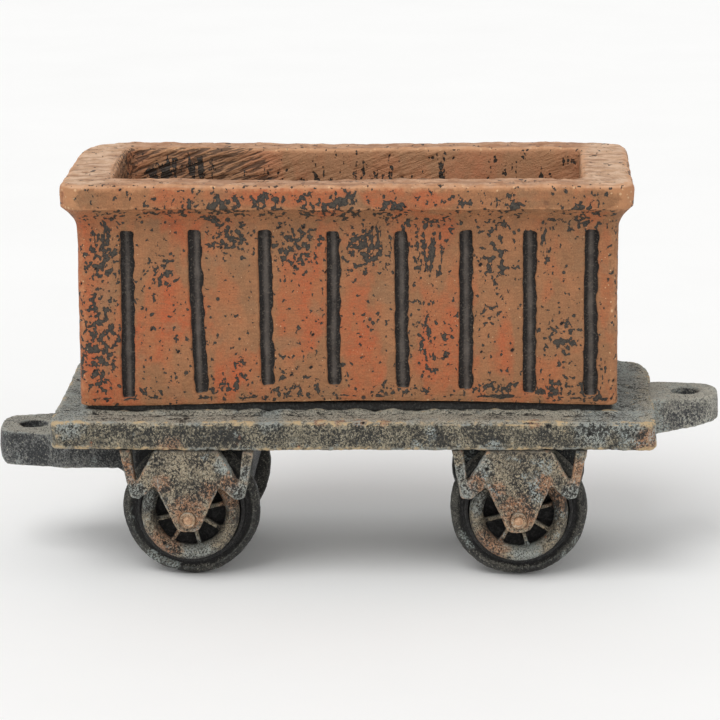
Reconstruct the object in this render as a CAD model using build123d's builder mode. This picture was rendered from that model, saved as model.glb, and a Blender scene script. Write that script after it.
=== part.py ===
from build123d import *
import os

# Small cast mine cart: an open tub with a flared rim on a slab deck, carried on two axles
# by four W-shaped pedestals, with a coupling tongue at each end.
#
# Frame: millimetres, +Z up, +X towards the high coupling tongue, -Y is the front side.
# Origin: on the ground, in the middle of the outline box. Wheel flanges touch Z = 0.

os.makedirs("parts", exist_ok=True)

# ------------------------------------------------------------ clearances
press_gap = 0.01          # radial, shaft, bush or tenon pressed into its seat
running_gap = 0.05        # radial, journal turning in a bush
screw_gap = 0.1           # radial, screw in its hole
side_play = 0.5           # wheel hub to pedestal, along the axle
wheel_clearance = 0.6     # flange top to the underside of the deck
turning_clearance = 0.8   # round a turning piece where it passes a fixed one

# ------------------------------------------------------------ tub
tub_length = 131.0
tub_width = 47.0
tub_height = 55.2
tub_shift = -1.3          # tub centre from the deck centre, towards the low tongue
tub_corner_radius = 2.5
tub_floor = 5.0
rim_side_overhang = 5.0
rim_end_overhang = 3.3
rim_height = 6.0
rim_corner_radius = 5.0
rim_edge_radius = 1.6
cove_height = 5.2
side_ledge = 9.0          # rim top between its outer edge and the opening, long sides
end_ledge = 12.0          # the same at the two ends
cavity_draft = 1.2        # inward lean of each inner wall from top to floor
cavity_corner_radius = 3.0
seat_height = 2.4
seat_recess = 1.2         # seat edge, back from the tub wall

# ------------------------------------------------------------ slots in the tub wall
slot_count = 8
slot_width = 3.3
slot_depth = 2.0
slot_base_gap = 3.0       # tub bottom to the lower end of a slot
slot_top_gap = 0.5        # upper end of a slot to the cove
low_slot_margin = 12.75   # wall end to the first slot centre, low tongue end
high_slot_margin = 5.55   # the same at the high tongue end
end_slot_count = 3
end_slot_margin = 10.5    # wall side to the outer slot centre, on the tub ends

# ------------------------------------------------------------ deck
deck_end_margin = 8.1     # deck edge beyond the tub wall, each end
deck_side_margin = 7.5    # the same along each side
deck_thickness = 7.3
deck_corner_radius = 3.0
deck_edge_radius = 0.8
wheel_relief_depth = 0.8  # shallow pocket in the underside, over each flange
wheel_relief_length = 12.0

# ------------------------------------------------------------ running gear
wheel_base = 80.7
flange_radius = 17.2
flange_thickness = 4.3
tread_wall = 1.3          # tread ring round the raised ring
tread_width = 2.4         # tread standing out in front of the flange
ring_outer_radius = 12.2
ring_inner_radius = 8.6
ring_height = 5.2         # raised ring, measured out from the web
ring_edge_radius = 1.4
hub_radius = 2.7
hub_height = 5.8
spoke_count = 8
spoke_width = 1.1
spoke_height = 2.8
spoke_phase = 14.0        # degrees from horizontal to the first spoke
axle_radius = 2.1
journal_radius = 1.1
bush_radius = 1.95
bush_stand_out = 0.8      # bush end, proud of the pedestal
axle_stand_out = 0.5      # journal end, proud of the pedestal

# ------------------------------------------------------------ pedestals and axle bolsters
pedestal_recess = 0.5     # pedestal face, back from the deck side
pedestal_thickness = 3.4
plate_top_width = 15.2    # middle plate where it meets the deck
leg_width = 2.7           # side leg where it meets the deck
window_width = 6.1        # three-sided window between plate and leg, at the deck
window_foot = (12.6, 8.9)  # lower corner of the window, from the axle centre
leg_tip = (12.9, 5.6)     # lower end of a side leg, from the axle centre
leg_tip_width = 2.2
notch = (7.8, 8.6)        # inner corner between a side leg and the middle plate
tip_wall = 0.65           # plate tip beside the bush
tip_depth = 1.25          # plate tip below the bush
tenon_width = 12.0
tenon_thickness = 1.8
tenon_height = 3.0
bolster_length = 30.0
bolster_height = 13.5
bolster_gap = 2.3         # bolster side to the inner face of a wheel

# ------------------------------------------------------------ coupling tongues
tongue_reach = 16.4       # tongue tip beyond the deck end
pin_hole_radius = 3.5
pin_hole_setback = 8.0    # tongue tip to pin hole centre
tip_rounding = 0.5        # tip edge, narrower than the neck on each side
high_root_width = 17.5
high_tip_width = 15.0
high_tip_thickness = 6.5
high_tip_radius = 6.0
heel_length = 12.0        # part of the high tongue under the deck
heel_thickness = 2.2
low_root_width = 22.0
low_tip_width = 16.6
low_tip_radius = 5.0
low_thickness = 8.7
low_drop = 1.6            # top of the low tongue, below the deck underside
low_toe_radius = 2.5      # lower edge of the low tongue's tip
gusset_length = 5.2       # slope that carries the low tongue down to the bolster

# ------------------------------------------------------------ screws
tub_screw_radius = 1.5
tub_head_radius = 2.8
tub_head_height = 1.8
tub_screw_grip = 4.0      # thread in the tub floor
tub_screw_end_inset = 7.5   # from the tub wall, at the ends
tub_screw_side_inset = 8.5  # from the tub wall, at the sides
frame_screw_radius = 1.2
frame_head_radius = 2.2
frame_head_height = 1.4
frame_screw_grip = 5.0    # thread in the deck
tongue_screw_pitch = 9.0  # across each tongue
bolster_screw_pitch = 20.0

# ------------------------------------------------------------ derived sizes, levels and places
deck_length = tub_length + 2 * deck_end_margin
deck_width = tub_width + 2 * deck_side_margin
axle_height = flange_radius
deck_bottom = 2 * flange_radius + wheel_clearance
deck_top = deck_bottom + deck_thickness
tub_base = deck_top + seat_height
rim_top = tub_base + tub_height
rim_base = rim_top - rim_height
cove_base = rim_base - cove_height
cavity_floor = tub_base + tub_floor

pedestal_front = deck_width / 2 - pedestal_recess
pedestal_back = pedestal_front - pedestal_thickness
tenon_face = (pedestal_front + pedestal_back + tenon_thickness) / 2
hub_face = pedestal_back - side_play
web_face = hub_face - hub_height
tread_face = web_face + tread_width
wheel_back = web_face - flange_thickness
tread_radius = ring_outer_radius + tread_wall
flange_edge_radius = min(flange_thickness / 3, (flange_radius - tread_radius) / 2)
pedestal_drop = deck_bottom - axle_height

axle_x = wheel_base / 2
deck_end = deck_length / 2
tip_x = deck_end + tongue_reach
pin_x = tip_x - pin_hole_setback
bolster_end = axle_x + bolster_length / 2
bolster_width = 2 * (wheel_back - bolster_gap)
bolster_bottom = deck_bottom - bolster_height
low_top = deck_bottom - low_drop
low_bottom = low_top - low_thickness
frame_screw_length = deck_bottom + frame_screw_grip - low_bottom
tub_screw_pitch_x = tub_length - 2 * tub_screw_end_inset
tub_screw_pitch_y = tub_width - 2 * tub_screw_side_inset
low_screw_x = -(bolster_end + deck_end) / 2
high_screw_x = deck_end - heel_length / 2

ends = {"left": -1, "right": 1}
sides = {"front": -1, "rear": 1}
corners = {f"{s}_{e}": (ends[e], sides[s]) for s in sides for e in ends}
standing = (Align.CENTER, Align.CENTER, Align.MIN)


def underside(level, x=0.0):
    """Plane on an underside, so that a hole placed on it runs upwards."""
    return Plane(origin=(x, 0, level), x_dir=(1, 0, 0), z_dir=(0, 0, -1))


def face_plane(x, side, out):
    """Plane parallel to the wheels: local Y is up and the normal points out of the cart."""
    return Plane(origin=(x, side * out, axle_height), x_dir=(-side, 0, 0), z_dir=(0, side, 0))


def profile_plane(x, side):
    """Plane through an axle for turned profiles: local X runs outwards, local Y is the radius."""
    return Plane(origin=(x, 0, axle_height), x_dir=(0, side, 0), z_dir=(0, 0, side))


def save(piece, name):
    piece.part.label = name
    export_step(piece.part, f"parts/{name}.step")


# ------------------------------------------------------------ tub body
rim_length = tub_length + 2 * rim_end_overhang
rim_width = tub_width + 2 * rim_side_overhang
mouth_length = rim_length - 2 * end_ledge
mouth_width = rim_width - 2 * side_ledge
slot_bottom = tub_base + slot_base_gap
slot_length = cove_base - slot_top_gap - slot_bottom
slot_middle = slot_bottom + slot_length / 2
slot_pitch = (tub_length - low_slot_margin - high_slot_margin) / (slot_count - 1)
slot_shift = (low_slot_margin - high_slot_margin) / 2
end_slot_pitch = (tub_width - 2 * end_slot_margin) / (end_slot_count - 1)
# Cove outline: (share of its height, share of the rim overhang).
cove_steps = [(0.0, 0.0), (0.55, 0.3), (1.0, 0.92)]

with BuildPart() as tub_body:
    with BuildSketch(Plane.XY.offset(tub_base)):
        with Locations((tub_shift, 0)):
            RectangleRounded(tub_length, tub_width, tub_corner_radius)
    extrude(amount=cove_base - tub_base)
    for lower_step, upper_step in zip(cove_steps, cove_steps[1:]):
        for rise, out in (lower_step, upper_step):
            with BuildSketch(Plane.XY.offset(cove_base + rise * cove_height)):
                with Locations((tub_shift, 0)):
                    RectangleRounded(
                        tub_length + 2 * rim_end_overhang * out,
                        tub_width + 2 * rim_side_overhang * out,
                        tub_corner_radius + (rim_corner_radius - tub_corner_radius) * out,
                    )
        loft(ruled=True)
    with BuildSketch(Plane.XY.offset(rim_base)):
        with Locations((tub_shift, 0)):
            RectangleRounded(rim_length, rim_width, rim_corner_radius)
    extrude(amount=rim_height)
    fillet(tub_body.faces().sort_by(Axis.Z)[-1].outer_wire().edges(), radius=rim_edge_radius)
    # Open cavity, narrower at the floor than at the mouth.
    for level, draft in ((cavity_floor, cavity_draft), (rim_top, 0)):
        with BuildSketch(Plane.XY.offset(level)):
            with Locations((tub_shift, 0)):
                RectangleRounded(mouth_length - 2 * draft, mouth_width - 2 * draft, cavity_corner_radius)
    loft(mode=Mode.SUBTRACT)
    # Blind slots down the long sides and the ends.
    for side in sides.values():
        wall = Plane(
            origin=(tub_shift + slot_shift, side * tub_width / 2, slot_middle),
            x_dir=(-side, 0, 0),
            z_dir=(0, side, 0),
        )
        with BuildSketch(wall):
            with GridLocations(slot_pitch, 1, slot_count, 1):
                SlotOverall(slot_length, slot_width, rotation=90)
        extrude(amount=-slot_depth, mode=Mode.SUBTRACT)
    for end in ends.values():
        wall = Plane(
            origin=(tub_shift + end * tub_length / 2, 0, slot_middle), x_dir=(0, end, 0), z_dir=(end, 0, 0)
        )
        with BuildSketch(wall):
            with GridLocations(end_slot_pitch, 1, end_slot_count, 1):
                SlotOverall(slot_length, slot_width, rotation=90)
        extrude(amount=-slot_depth, mode=Mode.SUBTRACT)
    with Locations(underside(tub_base, tub_shift)):
        with GridLocations(tub_screw_pitch_x, tub_screw_pitch_y, 2, 2):
            Hole(tub_screw_radius + press_gap, depth=tub_screw_grip)
save(tub_body, "tub_body")

# ------------------------------------------------------------ tub seat
with BuildPart() as tub_seat:
    with BuildSketch(Plane.XY.offset(deck_top)):
        with Locations((tub_shift, 0)):
            RectangleRounded(
                tub_length - 2 * seat_recess, tub_width - 2 * seat_recess, tub_corner_radius
            )
            with GridLocations(tub_screw_pitch_x, tub_screw_pitch_y, 2, 2):
                Circle(tub_screw_radius + screw_gap, mode=Mode.SUBTRACT)
    extrude(amount=seat_height)
save(tub_seat, "tub_seat")

# ------------------------------------------------------------ deck
relief_width = flange_thickness + 2 * turning_clearance
flange_middle = wheel_back + flange_thickness / 2
tenon_middle = tenon_face - tenon_thickness / 2

with BuildPart() as deck:
    with BuildSketch(Plane.XY.offset(deck_bottom)):
        RectangleRounded(deck_length, deck_width, deck_corner_radius)
    extrude(amount=deck_thickness)
    fillet(deck.faces().sort_by(Axis.Z)[-1].edges(), radius=deck_edge_radius)
    fillet(deck.faces().sort_by(Axis.Z)[0].edges(), radius=deck_edge_radius)
    with BuildSketch(Plane.XY.offset(deck_bottom)):
        with GridLocations(wheel_base, 2 * flange_middle, 2, 2):
            Rectangle(wheel_relief_length, relief_width)
    extrude(amount=wheel_relief_depth, mode=Mode.SUBTRACT)
    with BuildSketch(Plane.XY.offset(deck_bottom)):
        with GridLocations(wheel_base, 2 * tenon_middle, 2, 2):
            Rectangle(tenon_width + 2 * press_gap, tenon_thickness + 2 * press_gap)
    extrude(amount=tenon_height + press_gap, mode=Mode.SUBTRACT)
    with Locations(underside(deck_bottom, tub_shift)):
        with GridLocations(tub_screw_pitch_x, tub_screw_pitch_y, 2, 2):
            CounterBoreHole(tub_screw_radius + screw_gap, tub_head_radius + screw_gap, tub_head_height)
    for screw_x in (low_screw_x, high_screw_x):
        with Locations(underside(deck_bottom, screw_x)):
            with GridLocations(1, tongue_screw_pitch, 1, 2):
                Hole(frame_screw_radius + press_gap, depth=frame_screw_grip)
    for end in ends.values():
        with Locations(underside(deck_bottom, end * axle_x)):
            with GridLocations(bolster_screw_pitch, 1, 2, 1):
                Hole(frame_screw_radius + press_gap, depth=frame_screw_grip)
save(deck, "deck")

# ------------------------------------------------------------ high coupling tongue
with BuildPart() as tongue_high:
    with BuildSketch(Plane.XZ):
        with BuildLine():
            Polyline(
                (tip_x, deck_top),
                (tip_x, deck_top - high_tip_thickness),
                (deck_end, deck_bottom - heel_thickness),
                (deck_end - heel_length, deck_bottom - heel_thickness),
                (deck_end - heel_length, deck_bottom),
                (deck_end, deck_bottom),
                (deck_end, deck_top),
                close=True,
            )
        make_face()
    extrude(amount=high_root_width, both=True)
    with BuildSketch(Plane.XY.offset(deck_bottom - 2 * heel_thickness)) as high_plan:
        with BuildLine():
            high_edge = Polyline(
                (deck_end - heel_length, 0),
                (deck_end - heel_length, high_root_width / 2),
                (deck_end, high_root_width / 2),
                (tip_x - high_tip_radius, high_tip_width / 2),
                (tip_x, high_tip_width / 2 - tip_rounding),
                (tip_x, 0),
            )
            mirror(high_edge, about=Plane.XZ)
        make_face()
        fillet(high_plan.vertices().group_by(Axis.X)[-1], radius=high_tip_radius)
    extrude(amount=deck_thickness + 4 * heel_thickness, mode=Mode.INTERSECT)
    with Locations((pin_x, 0, deck_top)):
        Hole(pin_hole_radius)
    with Locations(underside(deck_bottom - heel_thickness, high_screw_x)):
        with GridLocations(1, tongue_screw_pitch, 1, 2):
            CounterBoreHole(
                frame_screw_radius + screw_gap, frame_head_radius + screw_gap, frame_head_height
            )
    high_top_edges = tongue_high.faces().filter_by(Axis.Z).sort_by(Axis.Z)[-1].outer_wire().edges()
    fillet(high_top_edges.sort_by(Axis.X)[1:], radius=deck_edge_radius)
save(tongue_high, "coupling_tongue_high")

# ------------------------------------------------------------ low coupling tongue with its drawbar
with BuildPart() as tongue_low:
    with BuildSketch(Plane.XZ) as low_side:
        with BuildLine():
            Polyline(
                (-tip_x, low_top),
                (-deck_end, low_top),
                (-deck_end + low_drop, deck_bottom),
                (-bolster_end, deck_bottom),
                (-bolster_end, bolster_bottom),
                (-bolster_end - gusset_length, low_bottom),
                (-tip_x, low_bottom),
                close=True,
            )
        make_face()
        fillet(low_side.vertices().sort_by_distance((-tip_x, low_bottom, 0))[0], radius=low_toe_radius)
    extrude(amount=low_root_width, both=True)
    with BuildSketch(Plane.XY.offset(bolster_bottom)) as low_plan:
        with BuildLine():
            low_edge = Polyline(
                (-bolster_end, 0),
                (-bolster_end, low_root_width / 2),
                (-deck_end, low_root_width / 2),
                (-tip_x + low_tip_radius, low_tip_width / 2),
                (-tip_x, low_tip_width / 2 - tip_rounding),
                (-tip_x, 0),
            )
            mirror(low_edge, about=Plane.XZ)
        make_face()
        fillet(low_plan.vertices().group_by(Axis.X)[0], radius=low_tip_radius)
    extrude(amount=bolster_height, mode=Mode.INTERSECT)
    with Locations((-pin_x, 0, low_top)):
        Hole(pin_hole_radius)
    with Locations(underside(low_bottom, low_screw_x)):
        with GridLocations(1, tongue_screw_pitch, 1, 2):
            CounterBoreHole(
                frame_screw_radius + screw_gap, frame_head_radius + screw_gap, frame_head_height
            )
save(tongue_low, "coupling_tongue_low")

# ------------------------------------------------------------ axle bolsters under the deck
for end_name, end in ends.items():
    with BuildPart() as bolster:
        with BuildSketch(Plane.XY.offset(bolster_bottom)):
            with Locations((end * axle_x, 0)):
                Rectangle(bolster_length, bolster_width)
        extrude(amount=bolster_height)
        with BuildSketch(face_plane(end * axle_x, 1, 0)):
            Circle(axle_radius + turning_clearance)
        extrude(amount=bolster_width, both=True, mode=Mode.SUBTRACT)
        with Locations(underside(bolster_bottom, end * axle_x)):
            with GridLocations(bolster_screw_pitch, 1, 2, 1):
                CounterBoreHole(
                    frame_screw_radius + screw_gap,
                    frame_head_radius + screw_gap,
                    low_bottom + frame_head_height - bolster_bottom,
                )
    save(bolster, f"bolster_{end_name}")

# ------------------------------------------------------------ pedestals (W-irons) and their bushes
leg_inner_top = plate_top_width / 2 + window_width
plate_tip_half = bush_radius + tip_wall
plate_tip_drop = bush_radius + tip_depth

for corner, (end, side) in corners.items():
    with BuildPart() as pedestal:
        with BuildSketch(face_plane(end * axle_x, side, pedestal_front)) as outline:
            with BuildLine():
                half = Polyline(
                    (0, pedestal_drop),
                    (plate_top_width / 2, pedestal_drop),
                    window_foot,
                    (leg_inner_top, pedestal_drop),
                    (leg_inner_top + leg_width, pedestal_drop),
                    (leg_tip[0] + leg_tip_width / 2, leg_tip[1]),
                    (leg_tip[0] - leg_tip_width / 2, leg_tip[1] - leg_tip_width / 4),
                    notch,
                    (plate_tip_half, -plate_tip_drop),
                    (0, -plate_tip_drop),
                )
                mirror(half, about=Plane.YZ)
            make_face()
            fillet(outline.vertices().group_by(Axis.Y)[0], radius=0.9 * plate_tip_half)
            Circle(bush_radius + press_gap, mode=Mode.SUBTRACT)
        extrude(amount=-pedestal_thickness)
        with BuildSketch(face_plane(end * axle_x, side, tenon_face)):
            with Locations((0, pedestal_drop + tenon_height / 2)):
                Rectangle(tenon_width, tenon_height)
        extrude(amount=-tenon_thickness)
    save(pedestal, f"pedestal_{corner}")

    with BuildPart() as bush:
        with BuildSketch(face_plane(end * axle_x, side, pedestal_front + bush_stand_out)):
            Circle(bush_radius)
            Circle(journal_radius + running_gap, mode=Mode.SUBTRACT)
        extrude(amount=-(pedestal_thickness + bush_stand_out))
    save(bush, f"bush_{corner}")

# ------------------------------------------------------------ axles
for end_name, end in ends.items():
    with BuildPart() as axle:
        with BuildSketch(face_plane(end * axle_x, 1, 0)):
            Circle(axle_radius)
        extrude(amount=hub_face, both=True)
        with BuildSketch(face_plane(end * axle_x, 1, 0)):
            Circle(journal_radius)
        extrude(amount=pedestal_front + axle_stand_out, both=True)
    save(axle, f"axle_{end_name}")

# ------------------------------------------------------------ wheels
for corner, (end, side) in corners.items():
    wheel_axis = Axis((end * axle_x, 0, axle_height), (0, 1, 0))

    # Flanged disc: web, flange and tread turned in one profile.
    with BuildPart() as wheel_disc:
        with BuildSketch(profile_plane(end * axle_x, side)) as disc_profile:
            with BuildLine():
                Polyline(
                    (wheel_back, axle_radius + press_gap),
                    (wheel_back, flange_radius),
                    (web_face, flange_radius),
                    (web_face, tread_radius),
                    (tread_face, tread_radius),
                    (tread_face, ring_outer_radius + press_gap),
                    (web_face, ring_outer_radius + press_gap),
                    (web_face, axle_radius + press_gap),
                    close=True,
                )
            make_face()
            fillet(disc_profile.vertices().group_by(Axis.Y)[-1], radius=flange_edge_radius)
        revolve(axis=wheel_axis)
    save(wheel_disc, f"wheel_disc_{corner}")

    # Spider: raised ring, spokes and hub, seated in the front of the disc.
    with BuildPart() as wheel_spider:
        with BuildSketch(profile_plane(end * axle_x, side)) as ring_profile:
            with BuildLine():
                Polyline(
                    (web_face, ring_inner_radius),
                    (web_face, ring_outer_radius),
                    (web_face + ring_height, ring_outer_radius),
                    (web_face + ring_height, ring_inner_radius),
                    close=True,
                )
            make_face()
            fillet(ring_profile.vertices().group_by(Axis.X)[-1], radius=ring_edge_radius)
        revolve(axis=wheel_axis)
        spoke_length = (ring_inner_radius + ring_outer_radius) / 2
        with BuildSketch(face_plane(end * axle_x, side, web_face)):
            with PolarLocations(spoke_length / 2, spoke_count, start_angle=spoke_phase):
                Rectangle(spoke_length, spoke_width)
        extrude(amount=spoke_height)
        with BuildSketch(face_plane(end * axle_x, side, web_face)):
            Circle(hub_radius)
        extrude(amount=hub_height)
        with BuildSketch(face_plane(end * axle_x, side, web_face)):
            Circle(axle_radius + press_gap)
        extrude(amount=hub_height, mode=Mode.SUBTRACT)
    save(wheel_spider, f"wheel_spider_{corner}")

# ------------------------------------------------------------ screws
with BuildPart() as tub_screws:
    with Locations((tub_shift, 0, deck_bottom)):
        with GridLocations(tub_screw_pitch_x, tub_screw_pitch_y, 2, 2):
            Cylinder(tub_head_radius, tub_head_height, align=standing)
            Cylinder(tub_screw_radius, deck_thickness + seat_height + tub_screw_grip, align=standing)
save(tub_screws, "tub_screws")

frame_screw_places = [(low_screw_x, step * tongue_screw_pitch) for step in (-0.5, 0.5)]
frame_screw_places += [
    (end * axle_x + step * bolster_screw_pitch, 0) for end in ends.values() for step in (-0.5, 0.5)
]
with BuildPart() as frame_screws:
    with Locations(*[(x, y, low_bottom) for x, y in frame_screw_places]):
        Cylinder(frame_head_radius, frame_head_height, align=standing)
        Cylinder(frame_screw_radius, frame_screw_length, align=standing)
save(frame_screws, "frame_screws")

with BuildPart() as heel_screws:
    with Locations((high_screw_x, 0, deck_bottom - heel_thickness)):
        with GridLocations(1, tongue_screw_pitch, 1, 2):
            Cylinder(frame_head_radius, frame_head_height, align=standing)
            Cylinder(frame_screw_radius, heel_thickness + frame_screw_grip, align=standing)
save(heel_screws, "heel_screws")
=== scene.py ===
"""Mine cart, cast and hand painted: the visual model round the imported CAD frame.

Every cast part gets a piece of its own in place of its CAD node. The tub is lofted as one fine
mesh with its slots cut into it, and the other castings are dense copies of their CAD solids,
roughened by seeded noise. The axles and screws keep their CAD shape. Sizes below are in
millimetres unless they say otherwise, and the scene itself is in metres.
"""

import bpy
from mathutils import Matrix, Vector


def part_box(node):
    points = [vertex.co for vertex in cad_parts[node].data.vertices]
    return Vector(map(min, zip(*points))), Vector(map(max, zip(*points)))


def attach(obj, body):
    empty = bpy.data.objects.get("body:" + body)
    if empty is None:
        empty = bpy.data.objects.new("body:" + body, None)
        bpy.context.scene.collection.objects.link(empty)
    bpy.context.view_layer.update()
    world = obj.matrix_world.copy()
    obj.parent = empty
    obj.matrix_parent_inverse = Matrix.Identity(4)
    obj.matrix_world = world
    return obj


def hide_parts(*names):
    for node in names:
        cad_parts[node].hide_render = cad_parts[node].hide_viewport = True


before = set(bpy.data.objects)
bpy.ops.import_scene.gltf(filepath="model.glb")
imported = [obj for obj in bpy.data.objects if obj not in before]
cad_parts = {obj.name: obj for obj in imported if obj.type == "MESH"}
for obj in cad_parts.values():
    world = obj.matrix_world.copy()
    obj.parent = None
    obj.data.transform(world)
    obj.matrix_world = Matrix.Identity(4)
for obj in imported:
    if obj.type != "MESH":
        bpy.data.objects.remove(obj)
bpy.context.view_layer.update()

import itertools
import math

import bmesh
import bpy
import numpy as np
from mathutils import Matrix, Vector

MM = 0.001

# ---------------------------------------------------------------- camera and tub sizes
CAMERA_LENS = 163.0
CAMERA_TARGET = (0.745, 0.0, 49.78)
CAMERA_DISTANCE = 815.4
CAMERA_AZIMUTH, CAMERA_ELEVATION, CAMERA_ROLL = 2.604, 14.307, -0.571
FLOOR_REACH = 6.0  # from the middle of the floor to its edges, in metres

WALL_OVERHANG = (3.3, 5.0)  # rim beyond the wall, at the ends and along the sides
WALL_CORNER, RIM_CORNER, MOUTH_CORNER = 2.5, 5.0, 3.0
LEDGE = (12.0, 9.0)  # rim top, at the ends and along the sides
RIM_HEIGHT, COVE_HEIGHT, TUB_FLOOR = 6.0, 5.2, 5.0
CAVITY_DRAFT = 1.2
SLOT_WIDTH, SLOT_DEPTH = 3.5, 2.0
SLOT_FOOT, SLOT_HEAD = 3.0, 0.5  # wall left below a slot, and above it to the cove
SIDE_SLOTS = (-53.3, -36.2, -19.6, -3.2, 13.4, 28.8, 44.3, 59.0)
SIDE_SLOT_FEET = (1.7, 2.6, 4.3, 4.2, 3.3, 3.1, 2.4, 2.1)
SIDE_SLOT_LEAN = (-0.2, 1.1, 0.35, 0.3, 0.1, -0.4, -0.1, -0.3)
END_SLOTS = (-13.0, 0.0, 13.0)
GRID = 0.7  # spacing of the tub's mesh where it shows
COARSE = 1.35  # spacing deep inside
SEEN_DEPTH = 15  # how far below the rim the fine mesh goes inside the tub
CORNER_STEPS = 6  # faces round each corner of the tub
SLOT_SIDE = 0.22  # what the side of a slot takes up of its width
SLOT_COLUMNS = 6  # columns of mesh across a slot's floor
SLOT_MARGIN = 0.4  # from a slot to the first column of mesh beside it
BAKE_GAP = 2.0  # between the strips of the tub's UV map
RIM_EDGE, LIP_EDGE, FLOOR_EDGE = 1.6, 1.1, 3.0  # rounding of the rim, the mouth and the tub's floor
# The four walls in order round the tub, from the near side: the way along each, and the way out.
WALL_ALONG = ((1, 0), (0, 1), (-1, 0), (0, -1))
WALL_OUT = ((0, -1), (1, 0), (0, 1), (-1, 0))

# Where the paint is worn to charcoal on the near side: x from the tub's middle, height over
# the tub's base, half width, half height and strength.
WORN_PLACES = (
    (-60, 16, 4.5, 14, 0.95), (-59, 37, 5, 7, 0.9), (-45, 33, 3.5, 5, 0.7),
    (-49, 3, 4, 1.5, 0.7), (-28, 41, 5.5, 5, 0.95), (-26, 9, 3, 5, 0.6),
    (-29, 4, 4, 2, 0.8), (-12, 39, 6.5, 6, 1.0), (-16, 9, 1.5, 4, 0.7),
    (5, 39, 6, 6, 0.9), (6, 21, 3, 2, 0.45), (20, 37, 4.5, 8, 0.85),
    (19, 16, 3, 8, 0.7), (24, 15, 1.6, 5, 0.6), (36, 35, 3, 6, 0.75),
    (35, 23, 4, 4, 0.5), (48, 40, 2, 5, 0.8), (52, 17, 4, 6, 0.7),
    (50, 4, 6, 3, 0.85), (62, 7, 1.3, 6, 1.0), (37, 43, 5, 2.5, 0.7),
    (-57, 47, 4, 3.5, 0.6), (-40, 49, 9, 4, 0.55), (-29, 50, 6, 4, 1.0),
    (-18, 50, 5, 4, 0.9), (-3, 50, 9, 3.5, 0.9), (11, 49, 4, 3.5, 0.95),
    (28, 50, 2.5, 3, 0.6), (39, 50, 4, 3, 0.9), (57, 49, 6, 4, 0.75),
    (55, 45, 6, 2, 0.7), (-32, 46, 7, 1.4, 0.8), (18, 45, 8, 2, 0.8), (60, 5, 4, 5, 0.9),
    (-14, 3, 8, 1.6, 0.7), (12, 3, 9, 1.6, 0.7), (36, 4, 6, 2, 0.8),
)
# The same on the far inner wall, where it shows over the near rim.
INNER_WORN_PLACES = (
    (-49, 49, 4, 4, 1.0), (-41, 50, 5, 3, 0.6), (-22, 47, 1.2, 4, 0.9), (-10, 46, 5, 2.5, 0.9),
    (1, 49, 2, 4, 0.7), (7, 47, 3, 4, 0.85), (23, 48, 1.4, 5, 1.0), (39, 50, 1.5, 3, 0.6),
    (48, 47, 4, 1.6, 1.0), (54, 52, 2, 1.5, 0.8),
)
# Where the near side is more orange, and the same measures.
ORANGE_PLACES = (
    (-64, 22, 3, 20, 0.9), (-45, 18, 5, 14, 0.8), (-12, 22, 5, 12, 1.0), (5, 20, 5, 13, 1.0),
    (-14, 53, 18, 2.5, 1.1), (12, 52, 11, 2.5, 0.9), (50, 30, 4, 9, 1.0), (20, 12, 4, 8, 0.7),
    (-60, 3, 6, 5, 0.8), (62.5, 25, 2, 14, 0.7), (37, 14, 3, 8, 0.5), (-28, 6, 4, 4, 0.6),
)
# Where the wear runs down in streaks, and the same measures.
STREAKED_PLACES = (
    (20, 38, 4, 8, 1), (48, 40, 2, 5, 1), (62, 7, 2, 7, 1), (11, 43, 7, 4, 1), (-60, 42, 4, 4, 1),
)


# ---------------------------------------------------------------- seeded noise on points
HASH_STEPS = np.array([374761393, 668265263, 2147483629])
HASH_SEED, HASH_TWIST, HASH_WORD = 69069, 1274126177, 0xFFFFFFFF


def smooth_noise(points, size, seed):
    """Gradient noise of about -1 to 1 at each point; size is the cell, in mm, per axis or for all."""
    p = points / np.asarray(size, float) + 31.7 * seed
    cell = np.floor(p).astype(np.int64)
    f = p - cell
    ease = f**3 * (f * (f * 6 - 15) + 10)
    total = np.zeros(len(p))
    for corner in itertools.product((0, 1), repeat=3):
        h = ((cell + corner) @ HASH_STEPS + seed * HASH_SEED) & HASH_WORD
        h = ((h ^ (h >> 13)) * HASH_TWIST) & HASH_WORD
        h = h ^ (h >> 16)
        away = f - corner
        slope = sum(
            ((h >> shift) & 1023) / 511.5 * away[:, axis] - away[:, axis]
            for axis, shift in enumerate((0, 10, 20))
        )
        total += np.prod(np.where(np.array(corner) == 1, ease, 1 - ease), axis=1) * slope
    return total * 1.7


def layered_noise(points, size, seed, layers=3, fade=0.55):
    """Several layers of noise, each half the size of the one before."""
    total, strength = np.zeros(len(points)), 1.0
    for layer in range(layers):
        total += strength * smooth_noise(points, np.asarray(size, float) / 2**layer, seed + layer)
        strength *= fade
    return total


def cast_warp(points, amount=0.28):
    """The slow unevenness that all of the casting shares, so that its parts still meet."""
    return amount * np.stack(
        [layered_noise(points, 42.0, 11 + axis * 5, layers=2) for axis in range(3)], axis=1
    )


def pits(points, seed, count, radius, depth, where=None):
    """Round pinholes at seeded places: (depth at each point, how much each point is in one)."""
    rng = np.random.default_rng(seed)
    choice = np.arange(len(points)) if where is None else np.flatnonzero(where)
    dent, inside = np.zeros(len(points)), np.zeros(len(points))
    for centre in points[rng.choice(choice, count)]:
        r = radius * rng.uniform(0.55, 1.5)
        near = np.flatnonzero(np.abs(points - centre).max(axis=1) < 2.2 * r)
        fall = np.exp(-((np.linalg.norm(points[near] - centre, axis=1) / r) ** 2) * 1.2)
        dent[near] = np.maximum(dent[near], fall * depth * r / radius)
        inside[near] = np.maximum(inside[near], fall)
    return dent, inside


# ---------------------------------------------------------------- mesh helpers
def box_mm(node):
    """Lowest and highest corner of a CAD node at rest."""
    return [np.array(corner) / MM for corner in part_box(node)]


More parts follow.
